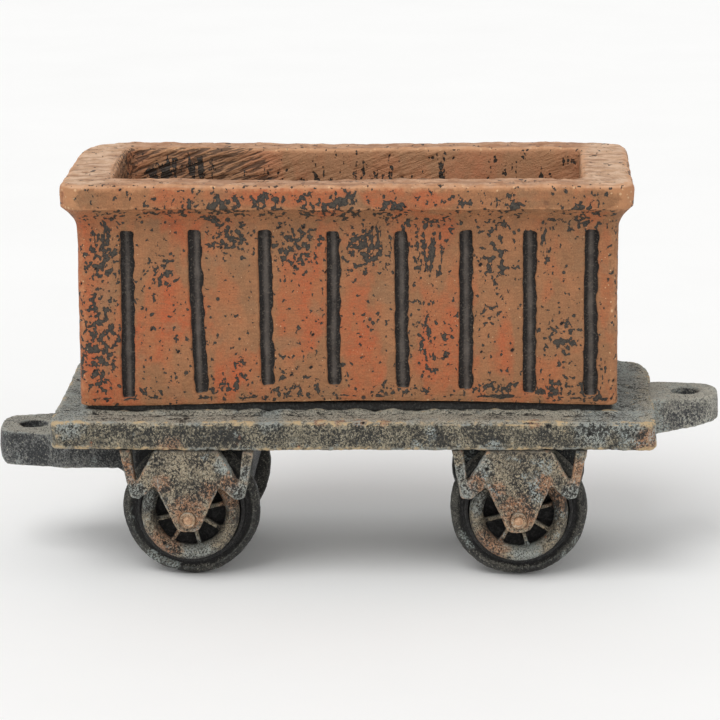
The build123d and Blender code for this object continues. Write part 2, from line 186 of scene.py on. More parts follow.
def points_of(mesh):
    co = np.empty(len(mesh.vertices) * 3)
    mesh.vertices.foreach_get("co", co)
    return co.reshape(-1, 3) / MM


def normals_of(mesh):
    n = np.empty(len(mesh.vertices) * 3)
    mesh.vertices.foreach_get("normal", n)
    return n.reshape(-1, 3)


def move_to(mesh, points):
    mesh.vertices.foreach_set("co", (points * MM).ravel())
    mesh.update()


def write_masks(mesh, **masks):
    """Stores numbers per vertex, under each name, for the materials to read."""
    for name, values in masks.items():
        mask = mesh.attributes.get(name) or mesh.attributes.new(name, "FLOAT", "POINT")
        mask.data.foreach_set("value", np.asarray(values, np.float32))


def neighbour_mean(mesh, values):
    """Mean of each vertex's neighbours."""
    ends = np.empty(len(mesh.edges) * 2, np.int32)
    mesh.edges.foreach_get("vertices", ends)
    a, b = ends.reshape(-1, 2).T
    count = np.bincount(ends, minlength=len(values)).astype(float)[:, None]
    total = [
        np.bincount(a, column[b], len(values)) + np.bincount(b, column[a], len(values))
        for column in values.T
    ]
    return np.stack(total, axis=1) / np.maximum(count, 1)


def relief_of(mesh, rounds=8):
    """How far each vertex stands out of its smoothed surroundings, in mm: + on edges, - in hollows."""
    points = points_of(mesh)
    smoothed = points
    for _ in range(rounds):
        smoothed = 0.5 * smoothed + 0.5 * neighbour_mean(mesh, smoothed)
    return ((points - smoothed) * normals_of(mesh)).sum(axis=1)


def new_piece(mesh, material, nodes, body):
    """Adds a finished mesh to the scene in place of its CAD nodes, as a piece of the same name."""
    piece = bpy.data.objects.new(mesh.name, mesh)
    bpy.context.scene.collection.objects.link(piece)
    mesh.materials.clear()
    mesh.materials.append(material)
    mesh.shade_smooth()
    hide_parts(*nodes)
    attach(piece, body)
    return piece


def dense_copy(node, name, voxel):
    """The CAD node's shape as an even mesh of small faces."""
    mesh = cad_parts[node].data.copy()
    shell = bmesh.new()
    shell.from_mesh(mesh)
    bmesh.ops.remove_doubles(shell, verts=shell.verts, dist=1e-6)
    shell.to_mesh(mesh)
    shell.free()
    draft = bpy.data.objects.new("draft", mesh)
    bpy.context.scene.collection.objects.link(draft)
    remesh = draft.modifiers.new("even", "REMESH")
    remesh.mode = "VOXEL"
    remesh.voxel_size = voxel * MM
    evaluated = draft.evaluated_get(bpy.context.evaluated_depsgraph_get())
    dense = bpy.data.meshes.new_from_object(evaluated)
    dense.name = name
    bpy.data.objects.remove(draft)
    return dense


def reshape(mesh, points):
    """Moves the vertices, and notes afresh which of them are on edges and in hollows."""
    move_to(mesh, points)
    write_masks(mesh, relief=relief_of(mesh))


def smooth_mesh(mesh, rounds):
    points = points_of(mesh)
    for _ in range(rounds):
        points = 0.5 * points + 0.5 * neighbour_mean(mesh, points)
    move_to(mesh, points)


def roughen(mesh, seed, lumps, grain, inward=False, warp=0.28, rounds=2):
    """Turns a dense copy into a casting: softened edges, lumps of 5 mm and grain of 1.3 mm."""
    smooth_mesh(mesh, rounds)
    points, normals = points_of(mesh), normals_of(mesh)
    height = lumps * layered_noise(points, 5.0, seed, layers=2)
    height += grain * layered_noise(points, 1.3, seed + 9, layers=2)
    if inward:
        height = np.minimum(height - (lumps + grain * 1.2), 0)
    moved = points + normals * height[:, None]
    if warp:
        moved += cast_warp(points, warp)
    reshape(mesh, moved)
    return points


# ---------------------------------------------------------------- materials
def srgb(red, green, blue):
    """A display colour of 0-255 as the linear colour that shaders use."""
    channels = [c / 255 for c in (red, green, blue)]
    return [c / 12.92 if c < 0.04045 else ((c + 0.055) / 1.055) ** 2.4 for c in channels] + [1.0]


class Paint:
    """A node material, one short call to each node."""

    def __init__(self, name):
        self.material = bpy.data.materials.new(name)
        self.material.use_nodes = True
        self.tree = self.material.node_tree
        self.tree.nodes.clear()
        self.place = self.add("ShaderNodeTexCoord").outputs["Object"]

    def add(self, kind, sockets=(), **settings):
        node = self.tree.nodes.new(kind)
        for key, value in settings.items():
            setattr(node, key, value)
        for key, value in dict(sockets).items():
            if isinstance(value, bpy.types.NodeSocket):
                self.tree.links.new(value, node.inputs[key])
            else:
                node.inputs[key].default_value = value
        return node

    def noise(self, size, detail, rough, seed, stretch=(1, 1, 1), twist=0.0):
        """Noise of the given grain in mm, drawn out along an axis by stretch."""
        shift = (0.37 * seed, 0.71 * seed, 0.53 * seed)
        sockets = {"Vector": self.place, "Scale": [1 / s for s in stretch], "Location": shift}
        where = self.add("ShaderNodeMapping", sockets).outputs[0]
        sockets = {"Vector": where, "Scale": 1 / (size * MM), "Detail": detail, "Roughness": rough}
        return self.add("ShaderNodeTexNoise", sockets | {"Distortion": twist}).outputs[0]

    def mask(self, name):
        return self.add("ShaderNodeAttribute", attribute_name=name).outputs["Fac"]

    def calc(self, operation, a, b=0.0):
        return self.add("ShaderNodeMath", {0: a, 1: b}, operation=operation).outputs[0]

    def times(self, a, b):
        return self.calc("MULTIPLY", a, b)

    def less(self, a, b):
        return self.calc("SUBTRACT", a, b)

    def plus(self, a, b, weight=None):
        """a and b together, or a and so much of b."""
        return self.calc("ADD", a, b if weight is None else self.times(b, weight))

    def cells(self, size):
        """Outputs of a pattern of cells of the given size in mm: a colour each, and the distance."""
        sockets = {"Vector": self.place, "Scale": 1 / (size * MM), "Randomness": 1.0}
        return self.add("ShaderNodeTexVoronoi", sockets).outputs

    def channel(self, colour, index):
        return self.add("ShaderNodeSeparateColor", {0: colour}).outputs[index]

    def between(self, share, low, high):
        """From low to high as share goes from 0 to 1."""
        return self.add("ShaderNodeMapRange", {"Value": share, "To Min": low, "To Max": high}).outputs[0]

    def step(self, value, low, high):
        """0 below low and 1 above high, eased between."""
        return self.add(
            "ShaderNodeMapRange",
            {"Value": value, "From Min": low, "From Max": high},
            interpolation_type="SMOOTHSTEP",
        ).outputs[0]

    def mix(self, share, a, b):
        """Colour a where share is 0 and b where it is 1."""
        return self.add("ShaderNodeMix", {0: share, 6: a, 7: b}, data_type="RGBA").outputs[2]

    def over(self, under, colour, share, most=None):
        """A display colour over what is under it, where share says, and at most so thick."""
        return self.mix(share if most is None else self.times(share, most), under, srgb(*colour))

    def finish(self, colour, roughness, height, depth, specular):
        """The finished material; depth is how deep its bumps are, in mm."""
        bump = self.add("ShaderNodeBump", {"Height": height, "Distance": depth * MM, "Strength": 1.0})
        shader = self.add(
            "ShaderNodeBsdfPrincipled",
            {
                "Base Color": colour,
                "Roughness": roughness,
                "Normal": bump.outputs[0],
                "Specular IOR Level": specular,
            },
        )
        out = self.add("ShaderNodeOutputMaterial")
        self.tree.links.new(shader.outputs[0], out.inputs[0])
        return self.material


def terracotta_colour(p, speckle):
    """The paint where it is whole: orange and tan, paler on its top faces from dry brushing and painted
    light from above, and paler on convex edges.
    """
    patches = p.noise(17, 3, 0.6, 1, (1, 1, 1.5))
    brushed = p.noise(4.5, 3, 0.6, 2, (1, 1, 2.2))
    tan = p.mix(p.step(brushed, 0.38, 0.62), srgb(143, 100, 66), srgb(160, 108, 71))
    orange = p.mix(p.step(brushed, 0.35, 0.65), srgb(174, 86, 48), srgb(163, 98, 60))
    where = p.plus(p.plus(patches, brushed, 0.45), p.mask("orange"), 0.24)
    colour = p.mix(p.step(where, 0.67, 0.82), tan, orange)
    khaki = p.step(p.noise(9, 3, 0.6, 4), 0.55, 0.70)
    colour = p.over(colour, (138, 106, 76), khaki, 0.6)
    colour = p.over(colour, (200, 144, 100), p.step(speckle, 0.35, 0.7), 0.18)
    dull = p.step(p.noise(0.3, 2, 0.6, 17), 0.5, 0.36)
    colour = p.over(colour, (104, 72, 50), dull, 0.34)
    strokes = p.step(p.noise(0.55, 3, 0.65, 15, (5, 5, 1)), 0.55, 0.4)
    colour = p.over(colour, (124, 82, 54), strokes, 0.3)
    mottle = p.step(p.noise(1.6, 4, 0.7, 16), 0.56, 0.68)
    colour = p.over(colour, (132, 96, 66), mottle, 0.35)
    # Pinkish dry brushing and painted light from above on the top faces, palest at the ends.
    tone = p.step(p.noise(3.2, 4, 0.65, 5), 0.35, 0.65)
    pale = p.mix(tone, srgb(170, 124, 92), srgb(200, 158, 126))
    pale = p.mix(p.mask("pale_end"), pale, p.mix(tone, srgb(190, 151, 119), srgb(218, 184, 155)))
    pale = p.over(pale, (146, 104, 76), p.step(p.mask("grain"), 0.1, -0.5), 0.6)
    top = p.plus(p.mask("top"), p.noise(2.2, 3, 0.6, 6), 0.5)
    colour = p.mix(p.step(top, 0.72, 1.16), colour, pale)
    edge = p.plus(p.mask("relief"), p.noise(0.9, 3, 0.7, 7), 0.3)
    colour = p.over(colour, (208, 150, 106), p.step(edge, 0.26, 0.42), 0.45)
    # Darker in hollows: the charcoal under the paint, and painted shade.
    colour = p.over(colour, (92, 64, 48), p.step(p.mask("relief"), -0.05, -0.3), 0.5)
    return p.over(colour, (204, 158, 120), p.mask("inner"), 0.42)


def worn_places(p, speckle):
    """Where the paint is worn through, and where deeply: blobs and streaks with dotted outlines."""
    blobs = p.noise(1.5, 2.5, 0.6, 8, (1, 1, 1.15), 0.15)
    streaks = p.noise(1.35, 3, 0.62, 9, (1, 1, 5.0), 0.2)
    streaked = p.mask("streaked")
    field = p.plus(p.times(blobs, p.less(1.0, streaked)), p.times(streaks, streaked))
    rag = p.times(p.less(0.47, p.cells(1.05)["Distance"]), 0.2)
    rag = p.plus(rag, p.less(speckle, 0.5), 0.16)
    field = p.plus(p.plus(field, rag), p.mask("worn"), 0.185)
    cells = p.cells(2.7)
    reach = p.times(p.less(p.channel(cells["Color"], 0), 0.62), 0.62)
    dot = p.step(p.less(reach, cells["Distance"]), 0.0, 0.05)
    dot = p.times(dot, p.step(p.mask("dotted"), 0.3, 0.5))
    return p.calc("MAXIMUM", p.step(field, 0.655, 0.68), dot), p.step(field, 0.72, 0.84)


def terracotta_paint():
    """Orange and tan paint on charcoal, worn through in blobs, streaks, dots and pinholes."""
    p = Paint("terracotta_paint")
    speckle = p.noise(0.45, 2, 0.6, 3)
    colour = terracotta_colour(p, speckle)
    worn, deep = worn_places(p, speckle)
    charcoal = p.mix(p.step(speckle, 0.4, 0.65), srgb(38, 33, 28), srgb(62, 55, 47))
    charcoal = p.over(charcoal, (76, 68, 57), deep, 0.6)
    colour = p.mix(worn, colour, charcoal)
    # Rare pale flecks, more of them on edges.
    specks = p.cells(0.9)
    rare = p.plus(p.channel(specks["Color"], 1), p.step(p.mask("relief"), 0.02, 0.3), 0.22)
    fleck = p.times(p.less(rare, 0.86), 1.5)
    fleck = p.step(p.less(fleck, specks["Distance"]), 0.0, 0.06)
    colour = p.over(colour, (222, 184, 142), fleck, 0.55)
    # Slots: charcoal with a rubbed grey middle.
    rubbed = p.step(p.plus(p.mask("rubbed"), p.noise(6, 3, 0.6, 11), 0.9), 0.8, 1.5)
    groove = p.mix(rubbed, srgb(36, 32, 30), srgb(100, 93, 87))
    groove = p.over(groove, (112, 104, 92), p.step(speckle, 0.56, 0.66), 0.5)
    colour = p.mix(p.step(p.plus(p.mask("slot"), speckle, 0.3), 0.5, 0.8), colour, groove)
    # Charcoal in a broken band along the foot, pinholes, and the slanting cuts inside.
    foot = p.plus(p.mask("foot"), p.noise(1.7, 3, 0.65, 12, (2.2, 2.2, 1)), 1.1)
    colour = p.mix(p.step(foot, 1.24, 1.29), colour, charcoal)
    colour = p.over(colour, (26, 22, 20), p.step(p.mask("pit"), 0.42, 0.62))
    slanted = p.add(
        "ShaderNodeMapping",
        {"Vector": p.place, "Rotation": (0, math.radians(-20), 0), "Scale": (8.0, 1.0, 1.0)},
        vector_type="TEXTURE",
    ).outputs[0]
    carving = p.add("ShaderNodeTexNoise", {"Vector": slanted, "Scale": 1 / (0.8 * MM), "Detail": 2.0})
    carving = p.times(carving.outputs[0], p.mask("carved"))
    colour = p.over(colour, (58, 46, 38), p.step(carving, 0.56, 0.66), 0.75)
    height = p.plus(p.times(worn, -0.5), carving, -2.4)
    height = p.plus(height, p.noise(0.7, 3, 0.65, 13), 0.7)
    height = p.plus(height, speckle, 0.4)
    height = p.plus(height, p.noise(2.6, 3, 0.6, 14), 0.8)
    return p.finish(colour, p.between(worn, 0.7, 0.55), height, 0.32, 0.4)


def dry_brushed_iron(
    name, body, brushed, edge_tint, cover, rust, frost, seed, lines=0.85, line_from=0.25
):
    """Charcoal paint with stippled dry brushing, paler on its edges and black in its hollows, from the
    charcoal left there and painted shade.

    body, brushed and edge_tint are display colours. cover, rust and frost say how much there is of
    brushing, orange and blue-white, lines how strong the edges' lines are, and line_from how sharp
    an edge has to be for one.
    """
    p = Paint(name)
    relief, top = p.mask("relief"), p.mask("top")
    stipple = p.noise(0.52, 4, 0.78, seed + 1, (1, 1, 1.2), 0.2)
    drift = p.noise(7, 3, 0.6, seed + 2)
    fine = p.noise(0.32, 2, 0.6, seed + 3)
    colour = p.mix(p.step(fine, 0.35, 0.65), srgb(*[c * 0.6 for c in body]), srgb(*body))
    share = p.plus(stipple, p.less(drift, 0.5), 0.4)
    share = p.plus(p.plus(share, relief, 0.5), top, 0.08)
    brush = p.step(share, 0.60 - 0.2 * cover, 0.655 - 0.19 * cover)
    tone = p.step(p.noise(3.5, 3, 0.6, seed + 4), 0.4, 0.6)
    tint = p.mix(tone, srgb(*brushed), srgb(*[c * 0.8 for c in brushed]))
    # Paler on top faces: dry brushing, and painted light from above.
    tint = p.over(tint, (216, 211, 194), top, 0.7)
    shift = p.times(p.less(p.noise(1.6, 4, 0.7, seed + 11), 0.5), 1.8)
    daub = p.step(p.plus(p.mask("warm"), shift), 0.45, 1.1)
    tint = p.over(tint, (190, 130, 90), daub, 0.7)
    chill = p.step(p.less(p.mask("cold"), shift), 0.35, 1.0)
    tint = p.over(tint, (176, 184, 180), chill, 0.8)
    gaps = p.step(p.noise(0.36, 3, 0.7, seed + 10, (1, 1, 1.3)), 0.5, 0.42)
    tint = p.over(tint, [c * 0.8 for c in body], gaps, 0.75)
    colour = p.mix(p.times(brush, 0.9), colour, tint)
    sparks = p.times(p.step(p.noise(0.42, 2, 0.6, seed + 12), 0.58, 0.66), brush)
    colour = p.over(colour, (214, 209, 190), sparks, 0.15 + 0.6 * cover)
    # Blue-white stipple, and orange showing in patches.
    cold = p.step(p.noise(9, 3, 0.6, seed + 8), 0.66 - 0.22 * frost, 0.74 - 0.2 * frost)
    cold = p.times(cold, p.step(p.noise(0.5, 3, 0.75, seed + 9), 0.48, 0.56))
    colour = p.over(colour, (178, 186, 181), cold, 0.85)
    patch = p.plus(p.noise(7, 3, 0.6, seed + 5), relief, 0.4)
    patch = p.step(patch, 0.74 - 0.14 * rust, 0.80 - 0.14 * rust)
    patch = p.times(patch, p.step(p.noise(0.8, 3, 0.7, seed + 6), 0.38, 0.56))
    colour = p.over(colour, (172, 106, 68), patch, 0.8)
    # Cream or bluish lines on the sharpest edges, black in the hollows from the charcoal left there and
    # painted shade, then painted shade and pinholes.
    edge = p.plus(relief, p.noise(0.75, 3, 0.7, seed + 7), 0.3)
    edge = p.step(edge, line_from, line_from + 0.1)
    line = p.mix(p.step(drift, 0.42, 0.56), srgb(162, 166, 160), srgb(*edge_tint))
    colour = p.mix(p.times(edge, lines), colour, line)
    colour = p.over(colour, (28, 26, 25), p.step(relief, -0.04, -0.2), 0.85)
    gloom = p.mix(p.step(stipple, 0.48, 0.62), srgb(32, 31, 31), srgb(74, 73, 71))
    colour = p.mix(p.step(p.mask("shade"), 0.25, 0.85), colour, gloom)
    colour = p.over(colour, (20, 18, 17), p.step(p.mask("pit"), 0.42, 0.62))
    height = p.plus(p.times(stipple, 1.5), fine, 0.4)
    return p.finish(colour, p.between(brush, 0.45, 0.72), height, 0.42, 0.45)


def dark_metal(name, tint, seed, painted_from=None):
    """Darkened steel with rubbed spots; painted like the bosses beyond a distance from the middle."""
    p = Paint(name)
    rub = p.noise(1.1, 4, 0.65, seed)
    colour = p.mix(p.step(rub, 0.42, 0.66), srgb(*[c * 0.55 for c in tint]), srgb(*tint))
    dust = p.step(p.noise(0.5, 3, 0.6, seed + 1), 0.55, 0.7)
    colour = p.over(colour, (150, 132, 110), dust, 0.5)
    if painted_from:
        away = p.add("ShaderNodeSeparateXYZ", {0: p.place}).outputs[1]
        share = p.step(p.calc("ABSOLUTE", away), (painted_from - 0.1) * MM, painted_from * MM)
        daub = p.mix(p.step(rub, 0.4, 0.62), srgb(160, 120, 90), srgb(204, 168, 134))
        colour = p.mix(share, colour, daub)
    return p.finish(colour, p.between(rub, 0.45, 0.7), p.noise(0.5, 3, 0.6, seed + 2), 0.12, 0.45)


def floor_paint():
    p = Paint("floor_paper")
    colour = p.mix(p.noise(60, 3, 0.5, 90), srgb(246, 246, 245), srgb(251, 251, 250))
    return p.finish(colour, 0.9, p.noise(1.5, 2, 0.5, 91), 0.02, 0.1)


# ---------------------------------------------------------------- the tub
def evenly(start, end, spacing):
    """Places from start to end, without end, about one spacing apart."""
    return list(np.linspace(start, end, max(1, round((end - start) / spacing)) + 1)[:-1])


def slot_columns(half, slots):
    """Places of mesh columns along a wall, with exact ones at the edges of each slot."""
    places, cuts, here = [], [], -half
    for middle in slots:
        left, right = middle - SLOT_WIDTH / 2, middle + SLOT_WIDTH / 2
        places += evenly(here, left - SLOT_MARGIN, GRID) + [left - SLOT_MARGIN, left]
        places += list(np.linspace(left + SLOT_SIDE, right - SLOT_SIDE, SLOT_COLUMNS)) + [right]
        cuts.append((left, right))
        here = right + SLOT_MARGIN
    places += evenly(here, half, GRID) + [half]
    if len(places) % 2 == 0:
        places.insert(-1, (places[-2] + half) / 2)
    return np.array(places), cuts


def turned(places, cuts):
    """The same wall on the other side of the tub."""
    return -places[::-1], [(-right, -left) for left, right in cuts[::-1]]


def slot_share(places, cuts):
    """1 on a slot's floor and 0 on the wall, at each column."""
    share = np.zeros(len(places))
    for left, right in cuts:
        edges = [left, left + SLOT_SIDE, right - SLOT_SIDE, right]
        share = np.maximum(share, np.interp(places, edges, [0, 1, 1, 0]))
    return share


def corner_turn(half, radius, wall):
    """Points round the corner that follows one wall."""
    centre = (np.array(WALL_ALONG[wall]) + WALL_OUT[wall]) * (half - radius)
    angle = np.radians(-90 + 90 * wall + 90 * np.arange(1, CORNER_STEPS) / CORNER_STEPS)
    return centre + radius * np.stack([np.cos(angle), np.sin(angle)], axis=1)


class TubLoft:
    """The tub as rings of vertices, each the same number of columns, stacked from base to floor."""

    def __init__(self):
        low, high = box_mm("tub_body")
        self.middle = (low + high) / 2
        self.base, self.tall = low[2], high[2] - low[2]
        self.cove_base = self.tall - RIM_HEIGHT - COVE_HEIGHT
        self.rim = (high - low)[:2] / 2
        self.wall = self.rim - WALL_OVERHANG
        self.mouth = self.rim - LEDGE
        near = slot_columns(self.wall[0] - WALL_CORNER, SIDE_SLOTS)
        right = slot_columns(self.wall[1] - WALL_CORNER, END_SLOTS)
        self.walls = (near, right, turned(*near), turned(*right))
        self.steps = [len(places) - 1 + CORNER_STEPS for places, _ in (near, right)]
        self.rings, self.slots = [], []
        self.stack_rings()

    def columns(self, wall, height):
        """Where the columns of one wall stand at one height: slot edges wander and lean."""
        places, cuts = self.walls[wall]
        span = self.cove_base - SLOT_HEAD - SLOT_FOOT
        share = np.clip((height - SLOT_FOOT) / span, 0, 1)
        from_end = max(0.0, min(height - SLOT_FOOT, SLOT_FOOT + span - height))
        narrow = 0.75 * (1 - math.sqrt(1 - (1 - min(from_end / 1.4, 1.0)) ** 2))
        keys, targets = [places[0]], [places[0]]
        for index, (left, right) in enumerate(cuts):
            spot = np.array([[40.0 * wall + 7 * index, 3.0 * index, height]])
            own = np.array([[9.0 * index, 17.0 * wall, 0.5]])
            lean = SIDE_SLOT_LEAN[index] if wall == 0 else 0.5 * smooth_noise(own, 4.0, 23)[0]
            shift = lean * (0.5 - share)
            a = left + shift + 0.14 * layered_noise(spot, 3.0, 21)[0] + narrow
            b = right + shift + 0.42 * layered_noise(spot + 50, 3.4, 22)[0] - narrow
            keys += [left, left + SLOT_SIDE, right - SLOT_SIDE, right]
            targets += [a, a + SLOT_SIDE, b - SLOT_SIDE, b]
        return np.interp(places, keys + [places[-1]], targets + [places[-1]])

    def rows(self, places, wall, height):
        """Heights of one row along a wall: the slots' ends are uneven, and the rows there follow."""
        head, zero = self.cove_base - SLOT_HEAD, np.zeros(len(places))
        feet = np.interp(places, SIDE_SLOTS, SIDE_SLOT_FEET)
        if wall > 0:
            spots = np.column_stack([places, zero + 13.0 * wall, zero])
            feet = SLOT_FOOT + 0.9 * smooth_noise(spots, 11.0, 24)
        spots = np.column_stack([places, zero + 5.0 * wall, zero])
        heads = head + 0.45 * smooth_noise(spots, 9.0, 25) - 0.3
        stops = [0, SLOT_FOOT, head, self.cove_base]
        return np.array(
            [np.interp(height, stops, [0, f, h, self.cove_base]) for f, h in zip(feet, heads)]
        )

    def ring(self, half, radius, height, in_slot=0.0, slotted=False):
        """Adds one ring; in_slot is how much of the slots' depth it has, if it crosses them."""
        points, slot = [], []
        for wall, (places, cuts) in enumerate(self.walls):
            (dx, dy), (nx, ny), way = WALL_ALONG[wall], WALL_OUT[wall], wall % 2
            where, z = places, np.full(len(places), float(height))
            if slotted:
                where, z = self.columns(wall, height), self.rows(places, wall, height)
            along = where * (half[way] - radius) / (self.wall[way] - WALL_CORNER)
            share = slot_share(places, cuts) * in_slot
            out = half[1 - way] - share * SLOT_DEPTH
            arc = corner_turn(half, radius, wall)
            points.append(np.stack([dx * along + nx * out, dy * along + ny * out, z], axis=1))
            points.append(np.column_stack([arc, np.full(len(arc), height)]))
            slot += [share, np.zeros(len(arc))]
        self.rings.append(np.concatenate(points) + (self.middle[0], self.middle[1], self.base))
        self.slots.append(np.concatenate(slot))

    def stack_rings(self):
        """All rings from the underside, up the wall, over the rim and down to the tub's floor."""
        tall, wall, rim, mouth = self.tall, self.wall, self.rim, self.mouth
        for inset, radius in ((2.6, 1.2), (1.2, 1.6), (0.35, 2.2)):
            self.ring(wall - inset, radius, 0.0)
        self.ring(wall - 0.08, WALL_CORNER, 0.12)
        head = self.cove_base - SLOT_HEAD
        rows = evenly(0.45, SLOT_FOOT, GRID) + [SLOT_FOOT, SLOT_FOOT + 0.25, SLOT_FOOT + 0.5]
        rows += evenly(SLOT_FOOT + 0.9, head - 0.9, GRID) + [head - 0.9, head - 0.5, head - 0.25, head]
        for height in rows:
            in_slot = float(SLOT_FOOT + 0.2 < height < head - 0.2)
            self.ring(wall, WALL_CORNER, height, in_slot, slotted=True)
        # The cove flares to 93% of the overhang, and a small round takes it out to the rim.
        overhang = np.array(WALL_OVERHANG)
        for up in np.linspace(0, 1, 9):
            out = up**1.75
            radius = WALL_CORNER + (RIM_CORNER - WALL_CORNER) * out
            self.ring(wall + overhang * out * 0.93, radius, self.cove_base + up * COVE_HEIGHT)
        for a in map(math.radians, (40, 85)):
            half = wall + overhang * (0.93 + 0.07 * math.sin(a))
            self.ring(half, RIM_CORNER, tall - RIM_HEIGHT + 0.7 * (1 - math.cos(a)))
        for height in evenly(tall - RIM_HEIGHT + 1.2, tall - RIM_EDGE, GRID):
            self.ring(rim, RIM_CORNER, height)
        for a in map(math.radians, (0, 22, 45, 68, 90)):
            inset = RIM_EDGE * (1 - math.cos(a))
            self.ring(rim - inset, RIM_CORNER - inset, tall - RIM_EDGE * (1 - math.sin(a)))
        for share in evenly(0, 1, GRID / 6.5)[1:]:
            half = (rim - RIM_EDGE) * (1 - share) + (mouth + LIP_EDGE) * share
            radius = (RIM_CORNER - RIM_EDGE) * (1 - share) + (MOUTH_CORNER + LIP_EDGE) * share
            self.ring(half, radius, tall)
        for a in map(math.radians, (0, 30, 60, 90)):
            inset, drop = LIP_EDGE * math.sin(a), LIP_EDGE * (1 - math.cos(a))
            self.ring(mouth + LIP_EDGE - inset, MOUTH_CORNER + LIP_EDGE - inset, tall - drop)
        deep = tall - TUB_FLOOR
        seen = evenly(LIP_EDGE + 0.75, SEEN_DEPTH, 0.75) + [SEEN_DEPTH]
        self.fine_end = len(self.rings) + len(seen)
        for drop in seen + evenly(SEEN_DEPTH + COARSE, deep - FLOOR_EDGE, COARSE) + [deep - FLOOR_EDGE]:
            self.ring(mouth - CAVITY_DRAFT * drop / deep, MOUTH_CORNER, tall - drop)
        for a in map(math.radians, (22, 45, 68, 90)):
            half = mouth - CAVITY_DRAFT - FLOOR_EDGE * (1 - math.cos(a))
            self.ring(half, MOUTH_CORNER + 0.1, TUB_FLOOR + FLOOR_EDGE * (1 - math.sin(a)))


def fill_ring(ring, nx, ny):
    """A grid of points, nx by ny steps, that fills a ring by blending its four sides."""
    near, right = ring[: nx + 1], ring[nx : nx + ny + 1]
    far = ring[nx + ny : 2 * nx + ny + 1][::-1]
    left = np.concatenate([ring[2 * nx + ny :], ring[:1]])[::-1]
    u = np.linspace(0, 1, nx + 1)[:, None, None]
    v = np.linspace(0, 1, ny + 1)[None, :, None]
    blend = near[:, None] * (1 - v) + far[:, None] * v + left[None] * (1 - u) + right[None] * u
    corners = (
        near[0] * (1 - u) * (1 - v) + near[-1] * u * (1 - v) + far[0] * (1 - u) * v + far[-1] * u * v
    )
    return blend - corners


def faces_between(low, high):
    """Faces between two rings of vertex numbers, of which one may have half as many."""
    low_next, high_next = np.roll(low, -1), np.roll(high, -1)
    if len(low) == len(high):
        return np.stack([low, low_next, high_next, high], axis=1).tolist()
    if len(low) > len(high):
        a, b, c = low[::2], low[1::2], np.roll(low, -2)[::2]
        kinds = ([a, b, high], [b, high_next, high], [b, c, high_next])
    else:
        a, b, c = high[::2], high[1::2], np.roll(high, -2)[::2]
        kinds = ([low, b, a], [low, low_next, b], [low_next, c, b])
    return [face for kind in kinds for face in np.stack(kind, axis=1).tolist()]


def lay_out_for_baking(mesh, loft, rings, index_rings, wall_faces):
    """A UV map with one strip per wall, from the base over the rim to the floor, and two panels."""
    columns = len(rings[0])
    column, row = np.zeros(len(mesh.vertices), int), np.zeros(len(mesh.vertices))
    climb = [0.0]
    for low, high in zip(rings, rings[1:]):
        climb.append(climb[-1] + np.linalg.norm(high - low, axis=1).mean())
    for ring, places in zip(index_rings, climb):
        column[ring] = np.arange(len(ring)) * (columns // len(ring))
        row[ring] = places
    whole = rings[loft.fine_end // 3]
    across = np.linalg.norm(np.roll(whole, -1, axis=0) - whole, axis=1)
    around = np.concatenate([[0], np.cumsum(across)])
    turns = np.cumsum([0, loft.steps[0], loft.steps[1], loft.steps[0]])
    loops = np.empty(len(mesh.loops), np.int32)
    mesh.loops.foreach_get("vertex_index", loops)
    first = np.empty(len(mesh.polygons), np.int32)
    mesh.polygons.foreach_get("loop_start", first)
    face = np.repeat(np.arange(len(first)), np.diff(np.append(first, len(loops))))
    # A face that crosses from the last column to the first one keeps to its own strip.
    at = column[loops]
    spread = np.maximum.reduceat(at, first) - np.minimum.reduceat(at, first)
    at = np.where((spread[face] > columns / 2) & (at < columns / 2), at + columns, at)
    at = np.minimum(at, columns)
    strip = np.searchsorted(turns, np.minimum.reduceat(at, first), side="right")[face] - 1
    long_side, short_side = around[turns[1]], around[turns[2]] - around[turns[1]]
    tall, aside = climb[-1] + BAKE_GAP, long_side + short_side + 2 * BAKE_GAP
    u = around[at] - around[turns[strip]] + np.where(strip % 2 == 1, long_side + BAKE_GAP, 0)
    v = row[loops] + np.where(strip > 1, tall, 0)
    flat = points_of(mesh)[loops]
    panel = face >= wall_faces
    upper = panel & (flat[:, 2] > loft.base + 2)
    u = np.where(panel, aside + flat[:, 1] - loft.middle[1] + loft.wall[1], u)
    v = np.where(panel, flat[:, 0] - loft.middle[0] + loft.wall[0] + np.where(upper, tall, 0), v)
    width, height = aside + 2 * loft.wall[1] + 1, max(2 * tall, tall + 2 * loft.wall[0]) + 1
    uv = np.stack([u / width, v / height], axis=1).astype(np.float32)
    mesh.uv_layers.new(name="OFBake").data.foreach_set("uv", uv.ravel())


